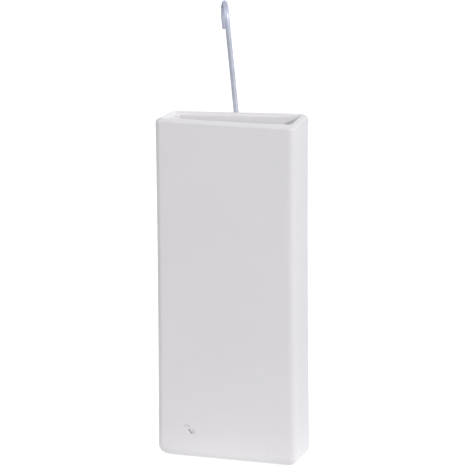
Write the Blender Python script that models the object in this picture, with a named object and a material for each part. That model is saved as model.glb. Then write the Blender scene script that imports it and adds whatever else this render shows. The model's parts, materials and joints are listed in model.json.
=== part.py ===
"""Ceramic radiator humidifier: an open-topped flat vessel that hangs on a bent wire hook.

Metres, +Z up. The origin is the centre of the vessel's flat base, +X runs along the
vessel's width, and +Y points to the radiator behind it. The hook goes through a round
hole in the vessel's back wall and swings about that hole's axis.
"""

from math import cos, pi, radians, sin

import bmesh
import bpy

# Vessel: one slip-cast piece
WIDTH = 0.075
DEPTH = 0.026
HEIGHT = 0.180
WALL = 0.0045
CAVITY_SHIFT = 0.0007  # the casting's hollow sits this far towards +X
FLOOR_THICKNESS = 0.0055
OUTER_CORNER_R = 0.0032
INNER_CORNER_R = 0.0025
BASE_EDGE_R = 0.0054
RIM_OUTER_R = 0.0018
RIM_INNER_R = 0.0019
INNER_FLOOR_R = 0.0040
SIDE_PINCH = 0.00035  # how far each narrow side bows in at half height
BASE_SPREAD = 0.00035  # how far each narrow side runs out towards the base
RIM_SKEW = 0.0016  # how far the back rim runs up to the right and down to the left
FRONT_RIM_DROP = 0.0007  # how far the front rim lies below the back rim's middle
SKEW_DEPTH = 0.030  # the rim's unevenness fades out this far below it

# Hole in the back wall, for the hook
HOLE_R = 0.0040
HOLE_BELOW_RIM = 0.0198

# Hook: round steel wire bent into an S in one plane
WIRE_R = 0.0013
LEG_CLEARANCE = 0.0007  # between the back wall and the long leg
LOWER_BEND_R = 0.00375
INNER_LEG_FROM_FACE = 0.0037  # inner face of the back wall to the inner leg's middle
OFF_CENTRE = 0.0012  # where the wire passes the hole's middle, towards +X
INNER_LEG_TOP = 0.0100  # above the hole's middle
UPPER_BEND_R = 0.0080
UPPER_BEND_ABOVE_HOLE = 0.0667
UPPER_BEND_BULGE = 0.0006  # the hand-made bend swells out of its plane by this much
SHORT_LEG = 0.0066  # straight run below the upper bend's middle
YAW = radians(25.7)  # the hook's plane turns this far, its open side towards -X
LEAN = radians(5.5)  # and it leans this far towards -X as it stands

# Mesh fineness
CORNER_STEPS = 6
EDGE_STEPS = 5
WIDE_SIDE_STEPS = 6
NARROW_SIDE_STEPS = 2
WALL_STEPS = 6
HOLE_SIDES = 32
BEND_STEPS = 18
LOWER_BEND_STEPS = 8


def make_material(name, colour, roughness, metallic):
    material = bpy.data.materials.new(name)
    material.use_nodes = True
    shader = material.node_tree.nodes["Principled BSDF"]
    shader.inputs["Base Color"].default_value = (*colour, 1.0)
    shader.inputs["Roughness"].default_value = roughness
    shader.inputs["Metallic"].default_value = metallic
    return material


def shade_round(mesh, sharp_angle=35):
    mesh.shade_smooth()
    mesh.set_sharp_from_angle(angle=radians(sharp_angle))


def rounded_rectangle(half_x, half_y, corner_r):
    """Points (x, y) round a rectangle with arc corners, anticlockwise from above."""
    corners = [
        (half_x - corner_r, half_y - corner_r, 0.0),
        (corner_r - half_x, half_y - corner_r, 0.5 * pi),
        (corner_r - half_x, corner_r - half_y, pi),
        (half_x - corner_r, corner_r - half_y, 1.5 * pi),
    ]
    points = []
    for index, (cx, cy, start) in enumerate(corners):
        for step in range(CORNER_STEPS + 1):
            angle = start + 0.5 * pi * step / CORNER_STEPS
            points.append((cx + corner_r * cos(angle), cy + corner_r * sin(angle)))
        next_cx, next_cy, next_start = corners[(index + 1) % 4]
        x1 = next_cx + corner_r * cos(next_start)
        y1 = next_cy + corner_r * sin(next_start)
        x0, y0 = points[-1]
        steps = WIDE_SIDE_STEPS if index % 2 == 0 else NARROW_SIDE_STEPS
        for step in range(1, steps):
            part = step / steps
            points.append((x0 + (x1 - x0) * part, y0 + (y1 - y0) * part))
    return points


def vessel_profile():
    """Rings from the base's edge up the outside, over the rim and down the inside.

    Each is (inset from the outer wall, height, corner radius, shift along X).
    """
    rings = []
    for step in range(EDGE_STEPS + 1):  # rounded edge of the base
        angle = 0.5 * pi * step / EDGE_STEPS
        inset = BASE_EDGE_R * (1 - sin(angle))
        height = BASE_EDGE_R * (1 - cos(angle))
        rings.append((inset, height, max(OUTER_CORNER_R - 0.5 * inset, RIM_OUTER_R), 0.0))
    wall_top = HEIGHT - RIM_OUTER_R
    for step in range(1, WALL_STEPS):
        height = BASE_EDGE_R + (wall_top - BASE_EDGE_R) * step / WALL_STEPS
        rings.append((0.0, height, OUTER_CORNER_R, 0.0))
    for step in range(EDGE_STEPS + 1):  # outer half of the rim
        angle = 0.5 * pi * step / EDGE_STEPS
        inset = RIM_OUTER_R * (1 - cos(angle))
        rings.append((inset, wall_top + RIM_OUTER_R * sin(angle), OUTER_CORNER_R - inset, 0.0))
    for step in range(EDGE_STEPS + 1):  # inner half of the rim
        angle = 0.5 * pi * step / EDGE_STEPS
        inset = WALL - RIM_INNER_R * (1 - sin(angle))
        height = HEIGHT - RIM_INNER_R * (1 - cos(angle))
        rings.append((inset, height, INNER_CORNER_R, CAVITY_SHIFT))
    inner_top = HEIGHT - RIM_INNER_R
    inner_bottom = FLOOR_THICKNESS + INNER_FLOOR_R
    for step in range(1, WALL_STEPS):
        height = inner_top + (inner_bottom - inner_top) * step / WALL_STEPS
        rings.append((WALL, height, INNER_CORNER_R, CAVITY_SHIFT))
    for step in range(EDGE_STEPS + 1):  # rounding between wall and floor inside
        angle = 0.5 * pi * step / EDGE_STEPS
        inset = WALL + INNER_FLOOR_R * (1 - cos(angle))
        height = inner_bottom - INNER_FLOOR_R * sin(angle)
        rings.append((inset, height, INNER_CORNER_R, CAVITY_SHIFT))
    return rings


def warped(x, y, z):
    """The small unevenness of the cast piece: curved narrow sides and a rim that isn't level."""
    up = z / HEIGHT
    spread = BASE_SPREAD * (1 - up) ** 2 - SIDE_PINCH * 4 * up * (1 - up)
    x += spread * x / (0.5 * WIDTH)
    fade = max(0.0, 1 - (HEIGHT - z) / SKEW_DEPTH)
    towards_back = (y + 0.5 * DEPTH) / DEPTH
    z += fade * RIM_SKEW * towards_back * x / (0.5 * WIDTH)
    z -= fade * FRONT_RIM_DROP * (1 - towards_back)
    return x, y, z


def make_vessel():
    mesh = bpy.data.meshes.new("vessel")
    bm = bmesh.new()
    loops = []
    for inset, height, corner_r, shift in vessel_profile():
        outline = rounded_rectangle(0.5 * WIDTH - inset, 0.5 * DEPTH - inset, corner_r)
        loops.append([bm.verts.new(warped(x + shift, y, height)) for x, y in outline])
    for lower, upper in zip(loops, loops[1:]):
        for index, vert in enumerate(lower):
            after = (index + 1) % len(lower)
            bm.faces.new((vert, lower[after], upper[after], upper[index]))
    bm.faces.new(reversed(loops[0]))
    bm.faces.new(loops[-1])
    bmesh.ops.recalc_face_normals(bm, faces=bm.faces)
    bm.to_mesh(mesh)
    bm.free()
    shade_round(mesh)
    vessel = bpy.data.objects.new("vessel", mesh)
    bpy.context.collection.objects.link(vessel)
    vessel.data.materials.append(make_material("white_glaze", (0.80, 0.79, 0.81), 0.35, 0.0))
    return vessel


def cut_hook_hole(vessel, centre):
    bpy.ops.mesh.primitive_cylinder_add(
        vertices=HOLE_SIDES, radius=HOLE_R, depth=3 * WALL, location=centre, rotation=(0.5 * pi, 0, 0)
    )
    cutter = bpy.context.object
    cutter.name = "hook_hole_cutter"
    cutter.hide_render = True
    cutter.display_type = "WIRE"
    cut = vessel.modifiers.new("hook_hole", "BOOLEAN")
    cut.operation = "DIFFERENCE"
    cut.object = cutter


def arc(centre_u, centre_v, radius, start, end, steps):
    """Points (u, v) along an arc from the start angle to the end angle."""
    angles = [start + (end - start) * step / steps for step in range(steps + 1)]
    return [(centre_u + radius * cos(angle), centre_v + radius * sin(angle)) for angle in angles]


def hook_route():
    """The wire's middle line: out of the hook's plane, away from the vessel, and up."""
    to_inner_leg = (0.5 * WALL + INNER_LEG_FROM_FACE) / cos(YAW)
    to_long_leg = (0.5 * WALL + LEG_CLEARANCE + WIRE_R) / cos(YAW)
    flat = [(-to_inner_leg, INNER_LEG_TOP)]
    flat += arc(LOWER_BEND_R - to_inner_leg, LOWER_BEND_R, LOWER_BEND_R, pi, 1.5 * pi, LOWER_BEND_STEPS)
    flat += arc(to_long_leg - LOWER_BEND_R, LOWER_BEND_R, LOWER_BEND_R, -0.5 * pi, 0, LOWER_BEND_STEPS)
    flat += arc(to_long_leg + UPPER_BEND_R, UPPER_BEND_ABOVE_HOLE, UPPER_BEND_R, pi, 0, BEND_STEPS)
    flat.append((to_long_leg + 2 * UPPER_BEND_R, UPPER_BEND_ABOVE_HOLE - SHORT_LEG))
    return [(UPPER_BEND_BULGE * max(0.0, v - UPPER_BEND_ABOVE_HOLE) / UPPER_BEND_R, u, v) for u, v in flat]


def make_hook(centre):
    """The wire, on an empty that stands on the hinge axis and carries the lean."""
    pivot = bpy.data.objects.new("hook_pivot", None)
    pivot.location = centre
    pivot.rotation_euler = (0, -LEAN, 0)
    bpy.context.collection.objects.link(pivot)

    curve = bpy.data.curves.new("hook", "CURVE")
    curve.dimensions = "3D"
    curve.twist_mode = "Z_UP"
    curve.bevel_depth = WIRE_R
    curve.bevel_resolution = 4
    curve.use_fill_caps = True
    curve.materials.append(make_material("zinc_plate", (0.58, 0.62, 0.73), 0.35, 0.9))
    route = hook_route()
    spline = curve.splines.new("POLY")
    spline.points.add(len(route) - 1)
    for point, place in zip(spline.points, route):
        point.co = (*place, 1.0)
    hook = bpy.data.objects.new("hook", curve)
    hook.location = (OFF_CENTRE, 0, 0)
    hook.rotation_euler = (0, 0, YAW)
    hook.parent = pivot
    bpy.context.collection.objects.link(hook)
    return hook


def main():
    for item in list(bpy.data.objects):
        bpy.data.objects.remove(item, do_unlink=True)
    hole_centre = (0.0, 0.5 * (DEPTH - WALL), HEIGHT - HOLE_BELOW_RIM)
    vessel = make_vessel()
    cut_hook_hole(vessel, hole_centre)
    make_hook(hole_centre)


main()
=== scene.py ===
"""The looks of a radiator humidifier: a flat glazed ceramic vessel on a bent zinc-plated wire hook."""
import json
from collections import namedtuple
from math import atan2, cos, exp, hypot, pi, radians, sin

import bmesh
import bpy
from mathutils import Matrix, Vector, noise


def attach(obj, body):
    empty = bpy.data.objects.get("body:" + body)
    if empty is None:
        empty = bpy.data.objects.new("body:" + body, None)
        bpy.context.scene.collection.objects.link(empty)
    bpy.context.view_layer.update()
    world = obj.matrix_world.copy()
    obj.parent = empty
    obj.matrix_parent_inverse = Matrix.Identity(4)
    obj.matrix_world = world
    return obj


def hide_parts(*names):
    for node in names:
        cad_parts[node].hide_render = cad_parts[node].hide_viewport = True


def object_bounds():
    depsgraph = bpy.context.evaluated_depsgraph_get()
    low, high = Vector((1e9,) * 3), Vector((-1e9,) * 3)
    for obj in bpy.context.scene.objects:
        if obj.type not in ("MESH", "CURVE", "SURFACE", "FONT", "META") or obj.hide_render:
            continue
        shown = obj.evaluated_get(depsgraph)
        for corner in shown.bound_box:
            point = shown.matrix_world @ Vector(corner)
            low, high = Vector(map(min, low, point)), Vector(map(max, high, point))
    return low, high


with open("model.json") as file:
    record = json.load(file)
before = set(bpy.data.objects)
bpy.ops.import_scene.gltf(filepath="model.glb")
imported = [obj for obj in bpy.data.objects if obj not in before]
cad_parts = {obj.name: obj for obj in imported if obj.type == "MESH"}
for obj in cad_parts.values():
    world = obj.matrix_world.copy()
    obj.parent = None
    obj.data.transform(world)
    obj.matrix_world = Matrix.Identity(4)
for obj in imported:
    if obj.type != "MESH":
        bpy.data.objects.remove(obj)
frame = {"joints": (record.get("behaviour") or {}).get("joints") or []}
cad_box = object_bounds()

# The vessel, as in the CAD model. All lengths are in metres.
WIDTH = 0.075
DEPTH = 0.026
HEIGHT = 0.180
WALL = 0.0045
CAVITY_SHIFT = 0.0007  # the cavity lies this far to the right
FLOOR_THICKNESS = 0.0055
OUTER_CORNER_R = 0.0032
INNER_CORNER_R = 0.0025
LEAST_CORNER_R = 0.0018  # where the base's edge curves in
BASE_EDGE_R = 0.0054
RIM_OUTER_R = 0.0018
RIM_INNER_R = 0.0019
INNER_FLOOR_R = 0.0040
SIDE_PINCH = 0.00035  # how far a narrow side bows in at half height
BASE_SPREAD = 0.00035  # how far a narrow side runs out at the base
RIM_SKEW = 0.0016  # how far the back rim is up at the right end and down at the left end
FRONT_RIM_DROP = 0.0007
SKEW_DEPTH = 0.030  # the rim's unevenness fades out over this height
HOLE_R = 0.0040
HOLE_CENTRE = Vector(frame["joints"][0]["pos_m"])

# The section of the wall in the middle, and at the narrow ends, where the clay was sponged more.
Section = namedtuple(
    "Section", "rim_outer_r rim_corner_cut rim_inner_r inner_corner_r shift base_r base_corner_cut"
)
MIDDLE = Section(
    rim_outer_r=RIM_OUTER_R,
    rim_corner_cut=1.0,  # how much of the rim's inset its corners lose
    rim_inner_r=RIM_INNER_R,
    inner_corner_r=INNER_CORNER_R,
    shift=CAVITY_SHIFT,
    base_r=BASE_EDGE_R,
    base_corner_cut=0.5,
)
LEFT_END = MIDDLE._replace(rim_outer_r=0.0024, rim_corner_cut=0.3, base_r=0.0061)
RIGHT_END = MIDDLE._replace(
    rim_outer_r=0.0024, rim_corner_cut=0.3, rim_inner_r=0.0008, inner_corner_r=0.0022,
    shift=0.0012, base_r=0.0064, base_corner_cut=-0.6,
)
RIM_TURN = (0.0320, 0.0365)  # between these distances from the middle, a section becomes the end's
BASE_TURN = (0.0280, 0.0360)
INSIDE_TURN = (0.0200, 0.0300)
RIGHT_BASE_TURN = (-0.0040, 0.0100)  # and at the base's right end, only towards the back

# The hook, as in the CAD model.
WIRE_R = 0.0013
DRAWN_WIRE_R = 0.001295  # a hair inside the CAD wire
LEG_CLEARANCE = 0.0007
LOWER_BEND_R = 0.00375
INNER_LEG_FROM_FACE = 0.0037
OFF_CENTRE = 0.0012  # the wire lies this far to the right in its hole
INNER_LEG_TOP = 0.0100
UPPER_BEND_R = 0.0080
UPPER_BEND_ABOVE_HOLE = 0.0667
UPPER_BEND_BULGE = 0.0006  # how far the upper bend leaves the hook's plane
SHORT_LEG = 0.0066
YAW = radians(25.7)  # how far the hook's plane is turned about the upright
LEAN = radians(5.5)  # and how far the hook leans to the left

# How finely the surfaces are made.
WIDE_STEPS = 60
NARROW_STEPS = 14
CORNER_STEPS = 8
EDGE_STEPS = 8
LOW_WALL_STEPS = 48
HIGH_WALL_STEPS = 9
PATCH_STEPS = 14  # rows and columns of the grid that give way to the hook's hole
PATCH_HALF_HEIGHT = 0.0080
PATCH_RINGS = 5
LIP_STEPS = 6
WIRE_SIDES = 28
WIRE_STEP = 0.0006
LEAST_BEND_STEPS = 6
WIRE_END_STEPS = 4
BACK_START = NARROW_STEPS + CORNER_STEPS  # index of the back side's first point in an outline
PATCH_FIRST = BACK_START + (WIDE_STEPS - PATCH_STEPS) // 2
FOOT_RINGS = (1.0, 0.92, 0.73, 0.46, 0.26, 0.18, 0.11, 0.04)  # from the underside's middle to its edge
FOOT_INSET = 0.0128  # of the innermost ring
FOOT_CORNER_CUT = 0.9  # the share of its corners' radius that the innermost ring loses
ON_FACE = 1e-6  # a point this near a face is on it

# What hand casting and glazing leave.
HOLE_LIP_R = 0.0010  # glaze rounds the hole's edges
WAVE_DEPTH = 0.00008
WAVES = ((0.045, 0.7), (0.018, 0.3))  # length and share of the wall's two waves
FOOT_CLEAR = 0.0012  # the waves fade out over this height, so that the vessel stands flat
FOOT_LIMIT = 1e-5  # below this, the clay is bare

# Flaws in the glaze of the front face: real dents, whose dark colour is partly the flaws' own and partly
# painted shade in the dents, darkest on the pits' lower left.
Flaw = namedtuple("Flaw", "x z half_length half_width slope depth darkness")
FLAWS = (
    Flaw(-0.0221, 0.0179, 0.0009, 0.00042, radians(22), 0.00006, 0.36),
    Flaw(-0.0205, 0.0177, 0.0013, 0.00042, radians(-18), 0.00006, 0.44),
    Flaw(-0.0198, 0.0153, 0.0008, 0.00055, radians(-65), 0.00036, 0.95),
    Flaw(-0.0189, 0.0142, 0.0007, 0.00050, radians(-45), 0.00036, 1.00),
    Flaw(-0.0177, 0.0149, 0.0011, 0.00055, radians(80), 0.00010, 0.45),
    Flaw(-0.0174, 0.0140, 0.0012, 0.00090, radians(60), 0.00005, 0.20),
    Flaw(0.0224, 0.0077, 0.0007, 0.00060, 0.0, 0.00005, 0.11),
)
FLAW_CUTS = ((3.6, 5), (2.6, 2))  # how far round a flaw, in flaw sizes, an edge is cut, and how often

# Painted shade on the rim and on the rounded upright edges, and thin glaze round the hole's lip, from 0 to
# 1.
RIM_SHADE_DEPTH = 0.0035
RIM_SHADE_INSET = (0.0025, 0.0040)  # the rim's painted shade fades out between these distances from the outside
RIM_SHADE_LEAST = 0.25  # the rim's painted shade away from the right end, where it is 1
EDGE_SHADE = 0.25
THIN_LIP = 0.25
THIN_LIP_REACH = 0.0015
LIP_MARGIN = 0.001  # how far in front of the back wall's inner face the lip's thin glaze is looked for

# What use leaves on the hook.
WIRE_END_R = 0.00035  # the cut ends' rounding
CUT_END_FROM = 0.6  # in end roundings: a ring drawn in by more than this shows bare steel
STREAK_LENGTH = 0.020
RUB_REACH = 0.0045  # how far from the hole's middle the zinc is rubbed
CHIP_ANGLE = radians(43)  # where on the upper bend the zinc is chipped, from its far side
CHIP_SIZE = 0.0009
PATCH_FALL = 4  # the power by which a rubbed or chipped patch fades at its edge
UPPER_BEND_SHEEN = (0.0560, 0.0700)  # painted sheen: the zinc is painted brighter and bluer between these heights above the hole

# Colours of the surfaces, as linear red, green, blue and alpha.
GLAZE_COOL = (0.838, 0.824, 0.852, 1)
GLAZE_PALE = (0.858, 0.842, 0.866, 1)
GLAZE_WARM = (0.856, 0.837, 0.850, 1)
GLAZE_SHADE_AND_THIN = (0.735, 0.719, 0.737, 1)
GLAZE_PORE = (0.42, 0.40, 0.39, 1)
GLAZE_FLAW_SHADE = (0.25, 0.245, 0.26, 1)
CLAY_DARK = (0.70, 0.665, 0.62, 1)
CLAY_PALE = (0.76, 0.735, 0.70, 1)
CLAY_GRIT = (0.55, 0.51, 0.46, 1)
ZINC_BLUE = (0.56, 0.60, 0.71, 1)
ZINC_PALE = (0.62, 0.65, 0.74, 1)
ZINC_BEND_SHEEN = (0.68, 0.73, 0.90, 1)
ZINC_STREAK = (0.50, 0.54, 0.65, 1)
ZINC_BLOOM = (0.72, 0.73, 0.77, 1)
STEEL_RUBBED = (0.42, 0.42, 0.43, 1)
STEEL_CUT = (0.36, 0.35, 0.35, 1)
STEEL_CHIP = (0.045, 0.040, 0.038, 1)

# The camera, which looks at CAMERA_AIM.
CAMERA_AZIMUTH = radians(18.99)
CAMERA_ELEVATION = radians(13.76)
CAMERA_ROLL = radians(-0.40)
CAMERA_DISTANCE = 1.886
CAMERA_AIM = (0.00002, 0.0, 0.11923)
CAMERA_CLIP = 20.0
SENSOR_MM = 36.0
LENS_MM = 284.95

# The studio.
SKY_COLOUR = (0.985, 0.99, 1.0, 1)
SKY_HORIZON = 0.30
SKY_ZENITH = 0.28
BACKDROP = 0.50  # added behind the object, where the bright backdrop is
BACKDROP_TURN = (0.25, 0.75)  # it comes up while the direction's Y goes through these
SEEN_BACKDROP = 1.03  # how bright the camera sees it
# A softbox's direction and distance are from the middle of the rim.
Softbox = namedtuple("Softbox", "name direction distance diameter watts colour")
SOFTBOXES = (
    Softbox("key_softbox", (0.80, -0.40, 0.37), 1.6, 0.10, 16.3, (0.995, 0.99, 1.0)),
    Softbox("side_softbox", (0.75, 0.60, 0.12), 1.5, 1.4, 3.3, (0.86, 0.92, 1.0)),
    Softbox("left_softbox", (-0.95, -0.15, 0.25), 1.5, 1.4, 3.0, (1.0, 0.99, 1.0)),
    Softbox("front_softbox", (-0.70, -0.60, 0.50), 1.5, 1.4, 8.2, (1.0, 0.99, 1.0)),
    Softbox("back_softbox", (-0.15, 0.98, 0.10), 1.5, 1.4, 5.0, (1.0, 0.99, 1.0)),
)
FLOOR_RADIUS = 8.0
FLOOR_SIDES = 96
FLOOR_GAP = 0.0001
FLOOR_ALBEDO = 0.35
FLOOR_GLOW_CENTRE = (0.0, -0.035, 0.0)
FLOOR_GLOWS = ((0.22, 0.40), (0.12, 0.12))  # strength at the centre, and reach
FOOT_GLOW = 0.28  # added under the base
FOOT_GLOW_SQUEEZE = (0.35, 1.0, 1.0)  # makes that patch as long as the vessel
FOOT_GLOW_REACH = (0.014, 0.032)  # it fades out between these distances
SEEN_FLOOR_ALBEDO = 0.2  # what the camera sees of the floor
SEEN_FLOOR_GLOW = 0.97
WHITE = (1, 1, 1, 1)


# ---------------------------------------------------------------- node helpers


class Graph:
    """A node tree, with short calls for the nodes this script uses."""

    def __init__(self, tree):
        self.tree = tree
        tree.nodes.clear()

    def node(self, kind, inputs=(), **settings):
        """A node with its settings, and with each input linked to an output or set to a value."""
        made = self.tree.nodes.new(kind)
        for name, value in settings.items():
            setattr(made, name, value)
        for name, value in dict(inputs).items():
            if isinstance(value, bpy.types.NodeSocket):
                self.tree.links.new(value, made.inputs[name])
            else:
                made.inputs[name].default_value = value
        return made

    def place(self):
        """A point's place in its object, in metres."""
        return self.node("ShaderNodeTexCoord").outputs["Object"]

    def attribute(self, name):
        return self.node("ShaderNodeAttribute", attribute_name=name).outputs["Fac"]

    def noise(self, where, scale, detail=2.0, roughness=0.5, distortion=0.0):
        inputs = {
            "Vector": where, "Scale": scale, "Detail": detail,
            "Roughness": roughness, "Distortion": distortion,
        }
        return self.node("ShaderNodeTexNoise", inputs).outputs["Fac"]

    def remap(self, value, limits, results, smooth=False):
        """Goes from the first result to the second while the value goes through its limits."""
        inputs = {
            "Value": value, "From Min": limits[0], "From Max": limits[1],
            "To Min": results[0], "To Max": results[1],
        }
        way = "SMOOTHSTEP" if smooth else "LINEAR"
        return self.node("ShaderNodeMapRange", inputs, interpolation_type=way).outputs["Result"]

    def add(self, first, second):
        return self.node("ShaderNodeMath", {0: first, 1: second}, operation="ADD").outputs["Value"]

    def times(self, first, second):
        return self.node("ShaderNodeMath", {0: first, 1: second}, operation="MULTIPLY").outputs["Value"]

    def mix(self, factor, first, second):
        """Mixes two colours, which a Mix node takes at its inputs 6 and 7."""
        return self.node("ShaderNodeMix", {0: factor, 6: first, 7: second}, data_type="RGBA").outputs[2]

    def bump(self, height, depth, strength, below=None):
        """A bumped normal, on top of another one if that is given."""
        inputs = {"Height": height, "Distance": depth, "Strength": strength}
        if below is not None:
            inputs["Normal"] = below
        return self.node("ShaderNodeBump", inputs).outputs["Normal"]

    def add_shaders(self, first, second):
        return self.node("ShaderNodeAddShader", {0: first.outputs[0], 1: second.outputs[0]})

    def finish(self, shader, output="ShaderNodeOutputMaterial"):
        self.tree.links.new(shader.outputs[0], self.node(output).inputs["Surface"])


def new_material(name):
    material = bpy.data.materials.new(name)
    material.use_nodes = True
    return material, Graph(material.node_tree)


# ------------------------------------------------------------------- materials


def white_glaze():
    """Satin white glaze, clouded and faintly rippled, with pores and flaws; painted shade makes it greyer on
    the rim and the rounded upright edges and darker in the flaws' dents, and it is greyer round the hole,
    where the glaze is thin.
    """
    material, g = new_material("satin_white_glaze")
    where = g.place()
    flaw = g.attribute("flaw_and_dent_shade")
    cloud = g.noise(where, 22.0, detail=3.0)
    drift = g.noise(where, 90.0, detail=4.0, roughness=0.6)
    cells = g.node("ShaderNodeTexVoronoi", {"Vector": where, "Scale": 85.0, "Randomness": 1.0})
    pore_centre = g.remap(cells.outputs["Distance"], (0.012, 0.030), (1, 0), smooth=True)
    pore = g.times(pore_centre, g.remap(g.noise(where, 40.0, detail=0.0), (0.56, 0.60), (0, 1)))

    colour = g.mix(g.remap(cloud, (0.32, 0.68), (0, 1), smooth=True), GLAZE_COOL, GLAZE_PALE)
    colour = g.mix(g.remap(drift, (0.35, 0.75), (0, 0.5)), colour, GLAZE_WARM)
    # painted shade: greyer on the rim and the rounded upright edges; at the hole's lip, greyer where the
    # glaze is thin
    colour = g.mix(g.attribute("rim_shade_and_thin_glaze"), colour, GLAZE_SHADE_AND_THIN)
    colour = g.mix(g.times(pore, 0.35), colour, GLAZE_PORE)
    # darker in the flaws: partly their own colour, partly painted shade in the dents
    colour = g.mix(g.times(flaw, 0.9), colour, GLAZE_FLAW_SHADE)
    roughness = g.add(g.remap(drift, (0.3, 0.7), (0.40, 0.50)), g.times(flaw, 0.15))
    normal = g.bump(g.noise(where, 420.0, roughness=0.45), 0.00010, 0.22)
    normal = g.bump(g.noise(where, 2600.0, detail=1.0), 0.00001, 0.25, normal)
    normal = g.bump(g.times(pore, -1.0), 0.0001, 0.6, normal)
    shader = g.node(
        "ShaderNodeBsdfPrincipled",
        {
            "Base Color": colour,
            "Roughness": roughness,
            "Normal": normal,
            "IOR": 1.50,
            "Specular IOR Level": 0.45,
            "Coat Weight": 0.12,
            "Coat Roughness": 0.25,
        },
    )
    g.finish(shader)
    return material


def bare_foot():
    """The unglazed clay that the vessel stands on, wiped clean before firing."""
    material, g = new_material("unglazed_foot")
    where = g.place()
    cloud = g.noise(where, 60.0, detail=4.0, roughness=0.6)
    grit = g.noise(where, 1500.0, detail=3.0, roughness=0.65)
    colour = g.mix(g.remap(cloud, (0.3, 0.7), (0, 1), smooth=True), CLAY_DARK, CLAY_PALE)
    colour = g.mix(g.remap(grit, (0.58, 0.75), (0, 0.5)), colour, CLAY_GRIT)
    shader = g.node(
        "ShaderNodeBsdfPrincipled",
        {
            "Base Color": colour,
            "Roughness": g.remap(cloud, (0.3, 0.7), (0.78, 0.92)),
            "Normal": g.bump(grit, 0.00008, 0.6),
            "Specular IOR Level": 0.3,
        },
    )
    g.finish(shader)
    return material


def zinc_wire():
    """Zinc on drawn steel: streaked along the wire, dulled in spots, rubbed, chipped and cut, with a painted
    sheen on the upper bend.
    """
    material, g = new_material("blue_zinc_plate")
    where = g.place()
    cut = g.attribute("cut_end")
    lane = g.node(
        "ShaderNodeCombineXYZ",
        {"X": g.times(g.attribute("wire_angle"), 26.0), "Y": g.attribute("wire_length"), "Z": 0.0},
    )
    streak = g.noise(lane.outputs["Vector"], 1.0, detail=3.0, roughness=0.6)
    bloom = g.noise(where, 240.0, detail=3.0, roughness=0.55, distortion=0.4)
    frost = g.noise(where, 1900.0)
    rubbed = g.times(g.attribute("rubbed"), g.remap(streak, (0.35, 0.6), (0.2, 0.8)))

    colour = g.mix(g.remap(bloom, (0.35, 0.65), (0, 1), smooth=True), ZINC_BLUE, ZINC_PALE)
    # painted sheen: the upper bend painted brighter and bluer
    colour = g.mix(g.times(g.attribute("upper_bend_sheen"), 0.8), colour, ZINC_BEND_SHEEN)
    colour = g.mix(g.remap(streak, (0.45, 0.75), (0, 0.45)), colour, ZINC_STREAK)
    colour = g.mix(g.remap(bloom, (0.64, 0.74), (0, 0.5)), colour, ZINC_BLOOM)
    colour = g.mix(rubbed, colour, STEEL_RUBBED)
    colour = g.mix(g.times(cut, 0.85), colour, STEEL_CUT)
    colour = g.mix(g.attribute("chip"), colour, STEEL_CHIP)
    roughness = g.add(g.remap(bloom, (0.3, 0.7), (0.42, 0.54)), g.times(cut, 0.2))
    normal = g.bump(frost, 0.00002, 0.25, g.bump(streak, 0.00004, 0.35))
    shader = g.node(
        "ShaderNodeBsdfPrincipled",
        {"Base Color": colour, "Metallic": 0.45, "Roughness": roughness, "Normal": normal},
    )
    g.finish(shader)
    return material


# ---------------------------------------------------------------- mesh helpers


def quarter_turn(steps):
    """Angles from 0 to 90 degrees, both included."""
    return [0.5 * pi * step / steps for step in range(steps + 1)]


def smooth_share(value, limits):
    """0 below the limits, 1 above them, and a smooth rise between."""
    share = min(1.0, max(0.0, (value - limits[0]) / (limits[1] - limits[0])))
    return share * share * (3 - 2 * share)


def join_loops(bm, loops):
    """Four-sided faces between each closed loop of points and the next."""
    for before, after in zip(loops, loops[1:]):
        for index, vert in enumerate(before):
            beyond = (index + 1) % len(before)
            bm.faces.new((vert, before[beyond], after[beyond], after[index]))


def finished_object(bm, name, *materials):
    """The mesh as an object of the scene, with its materials."""
    mesh = bpy.data.meshes.new(name)
    bm.to_mesh(mesh)
    bm.free()
    for material in materials:
        mesh.materials.append(material)
    made = bpy.data.objects.new(name, mesh)
    bpy.context.collection.objects.link(made)
    return made


# ------------------------------------------------------------------ the vessel

Level = namedtuple("Level", "zone inset height corner_r shift")


def outline(level):
    """A level's points, anticlockwise: the right, back, left and front sides, each with its last corner."""
    half_x, half_y = 0.5 * WIDTH - level.inset, 0.5 * DEPTH - level.inset
    corner_r = level.corner_r
    flat_x, flat_y = half_x - corner_r, half_y - corner_r
    sides = (
        ((half_x, -flat_y), (half_x, flat_y), NARROW_STEPS, 0.0),
        ((flat_x, half_y), (-flat_x, half_y), WIDE_STEPS, 0.5 * pi),
        ((-half_x, flat_y), (-half_x, -flat_y), NARROW_STEPS, pi),
        ((-flat_x, -half_y), (flat_x, -half_y), WIDE_STEPS, 1.5 * pi),
    )
    points = []
    for (x0, y0), (x1, y1), steps, facing in sides:
        for step in range(steps + 1):
            share = step / steps
            points.append((x0 + share * (x1 - x0), y0 + share * (y1 - y0)))
        centre_x = x1 - corner_r * cos(facing)
        centre_y = y1 - corner_r * sin(facing)
        for turn in quarter_turn(CORNER_STEPS)[1:-1]:
            angle = facing + turn
            points.append((centre_x + corner_r * cos(angle), centre_y + corner_r * sin(angle)))
    return [(x + level.shift, y) for x, y in points]


def wall_heights(low, high):
    """Heights of a wall's levels, finer and regular round the hook's hole."""
    hole_low = HOLE_CENTRE.z - PATCH_HALF_HEIGHT
    hole_high = HOLE_CENTRE.z + PATCH_HALF_HEIGHT
    heights = []
    for start, end, steps in (
        (low, hole_low, LOW_WALL_STEPS),
        (hole_low, hole_high, PATCH_STEPS),
        (hole_high, high, HIGH_WALL_STEPS),
    ):
        heights += [start + (end - start) * step / steps for step in range(steps)]
    return heights + [high]


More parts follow.
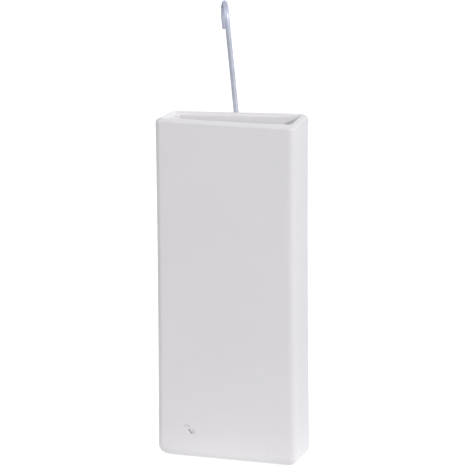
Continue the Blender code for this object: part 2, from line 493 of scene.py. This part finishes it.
def profile(section):
    """Levels from the middle of the underside, out, up, over the rim and down to the inner floor.

    Also gives the index of the outer wall's lowest level, and of the inner wall's lowest level.
    """
    base_r, outer_r, inner_r = section.base_r, section.rim_outer_r, section.rim_inner_r
    levels = []
    for share in FOOT_RINGS:
        inset = base_r + share * (FOOT_INSET - base_r)
        levels.append(Level("base", inset, 0.0, LEAST_CORNER_R * (1 - FOOT_CORNER_CUT * share), 0.0))
    for angle in quarter_turn(EDGE_STEPS)[:-1]:
        inset = base_r * (1 - sin(angle))
        corner_r = max(OUTER_CORNER_R - section.base_corner_cut * inset, LEAST_CORNER_R)
        levels.append(Level("base", inset, base_r * (1 - cos(angle)), corner_r, 0.0))

    outer_lowest = len(levels)
    for height in wall_heights(base_r, HEIGHT - outer_r):
        levels.append(Level("wall", 0.0, height, OUTER_CORNER_R, 0.0))
    for angle in quarter_turn(EDGE_STEPS)[1:]:
        inset = outer_r * (1 - cos(angle))
        corner_r = OUTER_CORNER_R - section.rim_corner_cut * inset
        levels.append(Level("rim", inset, HEIGHT - outer_r * (1 - sin(angle)), corner_r, 0.0))

    corner_r, shift = section.inner_corner_r, section.shift
    for angle in quarter_turn(EDGE_STEPS)[:-1]:
        inset = WALL - inner_r * (1 - sin(angle))
        levels.append(Level("inside", inset, HEIGHT - inner_r * (1 - cos(angle)), corner_r, shift))
    for height in reversed(wall_heights(FLOOR_THICKNESS + INNER_FLOOR_R, HEIGHT - inner_r)):
        levels.append(Level("inside", WALL, height, corner_r, shift))
    inner_lowest = len(levels) - 1
    for angle in quarter_turn(EDGE_STEPS)[1:]:
        inset = WALL + INNER_FLOOR_R * (1 - cos(angle))
        height = FLOOR_THICKNESS + INNER_FLOOR_R * (1 - sin(angle))
        levels.append(Level("inside", inset, height, INNER_CORNER_R, shift))
    return levels, outer_lowest, inner_lowest


def end_share(zone, x, y, height):
    """How far a section is from the middle's shape, 0, to the end's, 1."""
    if zone == "inside":
        return smooth_share(abs(x), INSIDE_TURN)
    rim, base = smooth_share(abs(x), RIM_TURN), smooth_share(abs(x), BASE_TURN)
    if x > 0:
        base *= smooth_share(y, RIGHT_BASE_TURN)
    up = {"base": 0.0, "wall": height / HEIGHT, "rim": 1.0}[zone]
    return up * rim + (1 - up) * base


def warped(x, y, z):
    """The casting's slight unevenness: curved narrow sides, and a rim that isn't level."""
    up = z / HEIGHT
    spread = BASE_SPREAD * (1 - up) ** 2 - SIDE_PINCH * 4 * up * (1 - up)
    x += spread * x / (0.5 * WIDTH)
    fade = max(0.0, 1 - (HEIGHT - z) / SKEW_DEPTH)
    towards_back = (y + 0.5 * DEPTH) / DEPTH
    z += fade * RIM_SKEW * towards_back * x / (0.5 * WIDTH)
    z -= fade * FRONT_RIM_DROP * (1 - towards_back)
    return Vector((x, y, z))


def level_places(middle, left, right):
    """The points of one level, which turns from the middle's shape to each end's."""
    places = []
    for point, left_point, right_point in zip(outline(middle), outline(left), outline(right)):
        end, end_point = (right, right_point) if point[0] > 0 else (left, left_point)
        share = end_share(middle.zone, *point, middle.height)
        x, y = (here + share * (there - here) for here, there in zip(point, end_point))
        places.append(warped(x, y, middle.height + share * (end.height - middle.height)))
    return places


def patch_border(rings, first_row, last_row):
    """The points round the square gap that the hole takes in a wall, once round from a corner."""
    left, right = PATCH_FIRST, PATCH_FIRST + PATCH_STEPS
    step = 1 if last_row > first_row else -1
    border = [rings[first_row][column] for column in range(left, right)]
    border += [rings[row][right] for row in range(first_row, last_row, step)]
    border += [rings[last_row][column] for column in range(right, left, -1)]
    border += [rings[row][left] for row in range(last_row, first_row, -step)]
    return border


def fill_round_hole(bm, outer, inner):
    """Joins the square gaps in the back wall's two faces by a round hole with soft lips."""
    outer_y, inner_y = 0.5 * DEPTH, 0.5 * DEPTH - WALL
    directions = []
    for vert in outer:
        angle = atan2(vert.co.z - HOLE_CENTRE.z, vert.co.x - HOLE_CENTRE.x)
        directions.append(Vector((cos(angle), 0, sin(angle))))

    def circle(radius, y):
        """A loop round the hole's axis."""
        loop = []
        for direction in directions:
            place = HOLE_CENTRE + radius * direction
            loop.append(bm.verts.new((place.x, y, place.z)))
        return loop

    def fan(border):
        """Loops that turn a square border into the lip's circle."""
        loops = [border]
        for step in range(1, PATCH_RINGS):
            loop = []
            for vert, direction in zip(border, directions):
                target = HOLE_CENTRE + (HOLE_R + HOLE_LIP_R) * direction
                target.y = vert.co.y
                loop.append(bm.verts.new(vert.co.lerp(target, step / PATCH_RINGS)))
            loops.append(loop)
        return loops

    loops = fan(outer)
    for angle in quarter_turn(LIP_STEPS):
        loops.append(circle(HOLE_R + HOLE_LIP_R * (1 - sin(angle)), outer_y - HOLE_LIP_R * (1 - cos(angle))))
    for angle in quarter_turn(LIP_STEPS):
        loops.append(circle(HOLE_R + HOLE_LIP_R * (1 - cos(angle)), inner_y + HOLE_LIP_R * (1 - sin(angle))))
    loops += reversed(fan(inner))
    join_loops(bm, loops)


def on_front_face(place):
    return place.y < ON_FACE - 0.5 * DEPTH


def flaw_strength(x, z):
    """How deep the glaze's flaws are at a place on the front face, and how dark they are painted, partly as
    shade in their dents, from 0 to 1.
    """
    depth = darkness = 0.0
    for flaw in FLAWS:
        along = (x - flaw.x) * cos(flaw.slope) + (z - flaw.z) * sin(flaw.slope)
        across = (z - flaw.z) * cos(flaw.slope) - (x - flaw.x) * sin(flaw.slope)
        fall = exp(-((along / flaw.half_length) ** 2 + (across / flaw.half_width) ** 2))
        depth += flaw.depth * fall
        darkness = max(darkness, flaw.darkness * fall)
    return depth, darkness


def near_flaw(point, reach):
    return any(
        hypot(point.x - flaw.x, point.z - flaw.z) < reach * max(flaw.half_length, flaw.half_width)
        for flaw in FLAWS
    )


def refine_flaws(bm):
    """Finer mesh round the glaze's flaws, so that they are real dents."""
    for reach, cuts in FLAW_CUTS:
        edges = [
            edge for edge in bm.edges
            if all(on_front_face(vert.co) for vert in edge.verts)
            and near_flaw(0.5 * (edge.verts[0].co + edge.verts[1].co), reach)
        ]
        bmesh.ops.subdivide_edges(bm, edges=edges, cuts=cuts, use_grid_fill=True)


def vessel_mesh():
    """The vessel without its hand-made unevenness: walls, rim, base and inner floor, with a round hole."""
    levels, outer_lowest, inner_lowest = profile(MIDDLE)
    bm = bmesh.new()
    rings = []
    for same_level in zip(levels, profile(LEFT_END)[0], profile(RIGHT_END)[0]):
        rings.append([bm.verts.new(place) for place in level_places(*same_level)])
    outer_rows = (outer_lowest + LOW_WALL_STEPS, outer_lowest + LOW_WALL_STEPS + PATCH_STEPS)
    inner_rows = (inner_lowest - LOW_WALL_STEPS, inner_lowest - LOW_WALL_STEPS - PATCH_STEPS)
    open_rows = set(range(*outer_rows)) | set(range(inner_rows[1], inner_rows[0]))
    open_columns = range(PATCH_FIRST, PATCH_FIRST + PATCH_STEPS)
    for row, (lower, upper) in enumerate(zip(rings, rings[1:])):
        for column, vert in enumerate(lower):
            if row in open_rows and column in open_columns:
                continue
            after = (column + 1) % len(lower)
            bm.faces.new((vert, lower[after], upper[after], upper[column]))
    bm.faces.new(reversed(rings[0]))
    bm.faces.new(rings[-1])
    fill_round_hole(bm, patch_border(rings, *outer_rows), patch_border(rings, *inner_rows))
    refine_flaws(bm)
    bmesh.ops.recalc_face_normals(bm, faces=bm.faces)
    bm.normal_update()
    return bm


def casting_wave(place, normal):
    """How the cast wall's waves move a point: always inwards."""
    wave = sum(share * (0.5 + 0.5 * noise.noise(place / length)) for length, share in WAVES)
    return -normal * WAVE_DEPTH * wave * min(1.0, place.z / FOOT_CLEAR)


def painted_shade_and_thin_glaze(place):
    """How much painted shade the rim and the rounded upright edges get, and how thin the glaze is round the
    hole's lip, from 0 on flat walls to 1 along the rim's right end.
    """
    inset = min(0.5 * WIDTH - abs(place.x), 0.5 * DEPTH - abs(place.y))
    # painted shade on the rim's top and outer rounding, strongest at its right end
    rim = max(0.0, 1 - (HEIGHT - place.z) / RIM_SHADE_DEPTH) * (1 - smooth_share(inset, RIM_SHADE_INSET))
    rim *= RIM_SHADE_LEAST + (1 - RIM_SHADE_LEAST) * smooth_share(place.x, RIM_TURN)
    beyond_x = abs(place.x) - (0.5 * WIDTH - OUTER_CORNER_R)
    beyond_y = abs(place.y) - (0.5 * DEPTH - OUTER_CORNER_R)
    # painted shade on the rounded upright edges, darkest halfway round them
    edge = 0.0
    if beyond_x > 0 and beyond_y > 0 and place.z > FOOT_LIMIT:
        edge = sin(2 * atan2(beyond_x, beyond_y))
    from_hole = hypot(place.x - HOLE_CENTRE.x, place.z - HOLE_CENTRE.z) - HOLE_R
    in_back_wall = place.y > 0.5 * DEPTH - WALL - LIP_MARGIN
    lip = max(0.0, 1 - from_hole / THIN_LIP_REACH) if in_back_wall else 0.0
    return min(1.0, max(rim, EDGE_SHADE * edge, THIN_LIP * lip))


def make_vessel():
    bm = vessel_mesh()
    shade_and_thin_layer = bm.verts.layers.float.new("rim_shade_and_thin_glaze")
    flaw_shade_layer = bm.verts.layers.float.new("flaw_and_dent_shade")
    for vert in bm.verts:
        vert[shade_and_thin_layer] = painted_shade_and_thin_glaze(vert.co)
        move = casting_wave(vert.co, vert.normal)
        if on_front_face(vert.co):
            depth, vert[flaw_shade_layer] = flaw_strength(vert.co.x, vert.co.z)
            move.y += depth
        vert.co += move
    for face in bm.faces:
        face.smooth = True
        face.material_index = 1 if all(vert.co.z < FOOT_LIMIT for vert in face.verts) else 0
    return finished_object(bm, "ceramic_vessel", white_glaze(), bare_foot())


# -------------------------------------------------------------------- the hook

# The distances of the hook's two legs from the middle of the back wall, in the hook's own plane.
TO_INNER_LEG = (0.5 * WALL + INNER_LEG_FROM_FACE) / cos(YAW)
TO_LONG_LEG = (0.5 * WALL + LEG_CLEARANCE + WIRE_R) / cos(YAW)


def arc(centre_u, centre_v, radius, start, end):
    """Points along an arc from the start angle to the end angle, the first one left out."""
    steps = max(LEAST_BEND_STEPS, round(abs(end - start) * radius / WIRE_STEP))
    angles = [start + (end - start) * step / steps for step in range(1, steps + 1)]
    return [(centre_u + radius * cos(angle), centre_v + radius * sin(angle)) for angle in angles]


def straight(start, end):
    """Points along a straight run, the first one left out."""
    steps = max(1, round(hypot(end[0] - start[0], end[1] - start[1]) / (2 * WIRE_STEP)))
    return [
        (start[0] + (end[0] - start[0]) * step / steps, start[1] + (end[1] - start[1]) * step / steps)
        for step in range(1, steps + 1)
    ]


def wire_place():
    """Turns the hook's own plane, where it is bent, into its place on the vessel."""
    place = Matrix.Translation(HOLE_CENTRE) @ Matrix.Rotation(-LEAN, 4, "Y")
    return place @ Matrix.Translation((OFF_CENTRE, 0, 0)) @ Matrix.Rotation(YAW, 4, "Z")


def wire_route():
    """The wire's middle line in the vessel's frame, from the inner leg's end to the short leg's end."""
    far = TO_LONG_LEG + 2 * UPPER_BEND_R
    flat = [(-TO_INNER_LEG, INNER_LEG_TOP)]
    flat += straight(flat[-1], (-TO_INNER_LEG, LOWER_BEND_R))
    flat += arc(LOWER_BEND_R - TO_INNER_LEG, LOWER_BEND_R, LOWER_BEND_R, pi, 1.5 * pi)
    flat += straight(flat[-1], (TO_LONG_LEG - LOWER_BEND_R, 0.0))
    flat += arc(TO_LONG_LEG - LOWER_BEND_R, LOWER_BEND_R, LOWER_BEND_R, -0.5 * pi, 0)
    flat += straight(flat[-1], (TO_LONG_LEG, UPPER_BEND_ABOVE_HOLE))
    flat += arc(TO_LONG_LEG + UPPER_BEND_R, UPPER_BEND_ABOVE_HOLE, UPPER_BEND_R, pi, 0)
    flat += straight(flat[-1], (far, UPPER_BEND_ABOVE_HOLE - SHORT_LEG))
    place = wire_place()
    route = []
    for u, v in flat:
        bulge = UPPER_BEND_BULGE * max(0.0, v - UPPER_BEND_ABOVE_HOLE) / UPPER_BEND_R
        route.append(place @ Vector((bulge, u, v)))
    return route


def rounded_ends(route):
    """(place, radius) along the wire, with its cut ends slightly rounded."""
    first = (route[1] - route[0]).normalized()
    last = (route[-1] - route[-2]).normalized()
    stations = []
    for angle in quarter_turn(WIRE_END_STEPS):
        radius = DRAWN_WIRE_R - WIRE_END_R * (1 - sin(angle))
        stations.append((route[0] + first * WIRE_END_R * (1 - cos(angle)), radius))
    for point in route[1:-1]:
        stations.append((point, DRAWN_WIRE_R))
    for angle in quarter_turn(WIRE_END_STEPS):
        radius = DRAWN_WIRE_R - WIRE_END_R * (1 - cos(angle))
        stations.append((route[-1] - last * WIRE_END_R * (1 - sin(angle)), radius))
    return stations


def chip_place():
    """The chipped spot, on the side of the upper bend that faces left."""
    away = TO_LONG_LEG + UPPER_BEND_R * (1 + cos(CHIP_ANGLE))
    up = UPPER_BEND_ABOVE_HOLE + UPPER_BEND_R * sin(CHIP_ANGLE)
    return wire_place() @ Vector((UPPER_BEND_BULGE * sin(CHIP_ANGLE) - WIRE_R, away, up))


def patch_share(place, centre, size):
    """1 in the middle of a worn patch, and 0 well outside it."""
    return exp(-(((place - centre).length / size) ** PATCH_FALL))


def make_hook():
    stations = rounded_ends(wire_route())
    chip = chip_place()
    bm = bmesh.new()
    length_layer = bm.verts.layers.float.new("wire_length")
    angle_layer = bm.verts.layers.float.new("wire_angle")
    rubbed_layer = bm.verts.layers.float.new("rubbed")
    cut_layer = bm.verts.layers.float.new("cut_end")
    chip_layer = bm.verts.layers.float.new("chip")
    bend_sheen_layer = bm.verts.layers.float.new("upper_bend_sheen")
    side = Vector((1, 0, 0))
    travelled = 0.0
    loops = []
    for index, (point, radius) in enumerate(stations):
        before = stations[max(0, index - 1)][0]
        after = stations[min(len(stations) - 1, index + 1)][0]
        tangent = (after - before).normalized()
        side = (side - tangent * side.dot(tangent)).normalized()
        up = tangent.cross(side)
        travelled += (point - before).length
        loop = []
        for corner in range(WIRE_SIDES):
            angle = 2 * pi * corner / WIRE_SIDES
            vert = bm.verts.new(point + radius * (cos(angle) * side + sin(angle) * up))
            vert[length_layer] = travelled / STREAK_LENGTH
            vert[angle_layer] = 0.5 + 0.5 * sin(angle)
            vert[rubbed_layer] = patch_share(point, HOLE_CENTRE, RUB_REACH)
            vert[cut_layer] = 1.0 if radius < WIRE_R - CUT_END_FROM * WIRE_END_R else 0.0
            vert[chip_layer] = patch_share(vert.co, chip, CHIP_SIZE)
            vert[bend_sheen_layer] = smooth_share(point.z - HOLE_CENTRE.z, UPPER_BEND_SHEEN)
            loop.append(vert)
        loops.append(loop)
    join_loops(bm, loops)
    bm.faces.new(reversed(loops[0]))
    bm.faces.new(loops[-1])
    bmesh.ops.recalc_face_normals(bm, faces=bm.faces)
    for face in bm.faces:
        face.smooth = len(face.verts) == 4  # not the flat cut ends
    return finished_object(bm, "wire_hook", zinc_wire())


# ------------------------------------------------------------ stage and camera


def grey(value):
    return (value, value, value, 1)


def make_floor():
    """A pale floor that throws light up, most under the object, and looks nearly white to the camera."""
    material, g = new_material("pale_floor")
    where = g.place()
    away = g.node("ShaderNodeVectorMath", {0: where, 1: FLOOR_GLOW_CENTRE}, operation="DISTANCE")
    squeezed = g.node("ShaderNodeVectorMath", {0: where, 1: FOOT_GLOW_SQUEEZE}, operation="MULTIPLY")
    from_foot = g.node("ShaderNodeVectorMath", {0: squeezed.outputs["Vector"]}, operation="LENGTH")
    glow = g.remap(from_foot.outputs["Value"], FOOT_GLOW_REACH, (FOOT_GLOW, 0.0), smooth=True)
    for strength, reach in FLOOR_GLOWS:
        glow = g.add(glow, g.remap(away.outputs["Value"], (0.0, reach), (strength, 0.0), smooth=True))
    lit = g.add_shaders(
        g.node("ShaderNodeBsdfDiffuse", {"Color": grey(FLOOR_ALBEDO)}),
        g.node("ShaderNodeEmission", {"Color": WHITE, "Strength": glow}),
    )
    seen = g.add_shaders(
        g.node("ShaderNodeBsdfDiffuse", {"Color": grey(SEEN_FLOOR_ALBEDO)}),
        g.node("ShaderNodeEmission", {"Color": WHITE, "Strength": SEEN_FLOOR_GLOW}),
    )
    camera_ray = g.node("ShaderNodeLightPath").outputs["Is Camera Ray"]
    g.finish(g.node("ShaderNodeMixShader", {0: camera_ray, 1: lit.outputs[0], 2: seen.outputs[0]}))

    bm = bmesh.new()
    bmesh.ops.create_circle(bm, cap_ends=True, segments=FLOOR_SIDES, radius=FLOOR_RADIUS)
    floor = finished_object(bm, "floor", material)
    floor.location.z = cad_box[0].z - FLOOR_GAP


def make_sky():
    """Soft light from all round, stronger from the backdrop, which the camera sees as white."""
    world = bpy.data.worlds.new("studio")
    bpy.context.scene.world = world
    world.use_nodes = True
    g = Graph(world.node_tree)
    towards = g.node("ShaderNodeTexCoord").outputs["Generated"]
    parts = g.node("ShaderNodeSeparateXYZ", {"Vector": towards})
    sky = g.remap(parts.outputs["Z"], (0.0, 1.0), (SKY_HORIZON, SKY_ZENITH))
    backdrop = g.remap(parts.outputs["Y"], BACKDROP_TURN, (0.0, BACKDROP), smooth=True)
    camera_ray = g.node("ShaderNodeLightPath").outputs["Is Camera Ray"]
    strength = g.node(
        "ShaderNodeMix", {0: camera_ray, 2: g.add(sky, backdrop), 3: SEEN_BACKDROP}, data_type="FLOAT"
    )
    background = g.node("ShaderNodeBackground", {"Color": SKY_COLOUR, "Strength": strength.outputs[0]})
    g.finish(background, "ShaderNodeOutputWorld")


def make_softboxes():
    for softbox in SOFTBOXES:
        light = bpy.data.lights.new(softbox.name, "AREA")
        light.shape = "DISK"
        light.size = softbox.diameter
        light.energy = softbox.watts
        light.color = softbox.colour
        lamp = bpy.data.objects.new(softbox.name, light)
        bpy.context.collection.objects.link(lamp)
        towards = Vector(softbox.direction).normalized()
        lamp.location = Vector((0, 0, HEIGHT)) + softbox.distance * towards
        lamp.rotation_euler = towards.to_track_quat("Z", "Y").to_euler()
        lamp.visible_camera = False


def make_camera():
    back = Vector((
        sin(CAMERA_AZIMUTH) * cos(CAMERA_ELEVATION),
        -cos(CAMERA_AZIMUTH) * cos(CAMERA_ELEVATION),
        sin(CAMERA_ELEVATION),
    ))
    level_right = (-back).cross(Vector((0, 0, 1))).normalized()
    level_up = level_right.cross(-back)
    right = level_right * cos(CAMERA_ROLL) + level_up * sin(CAMERA_ROLL)
    up = level_up * cos(CAMERA_ROLL) - level_right * sin(CAMERA_ROLL)
    centre = Vector(CAMERA_AIM) + CAMERA_DISTANCE * back
    data = bpy.data.cameras.new("camera")
    data.sensor_width = SENSOR_MM
    data.lens = LENS_MM
    data.clip_end = CAMERA_CLIP
    camera = bpy.data.objects.new("camera", data)
    bpy.context.collection.objects.link(camera)
    camera.matrix_world = Matrix.Translation(centre) @ Matrix((right, up, back)).transposed().to_4x4()
    bpy.context.scene.camera = camera


make_camera()
make_sky()
make_softboxes()
make_floor()
bpy.context.scene.view_settings.view_transform = "Standard"

vessel = make_vessel()
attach(vessel, "vessel")
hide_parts("vessel")

hook = make_hook()
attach(hook, "hook")
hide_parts("hook")
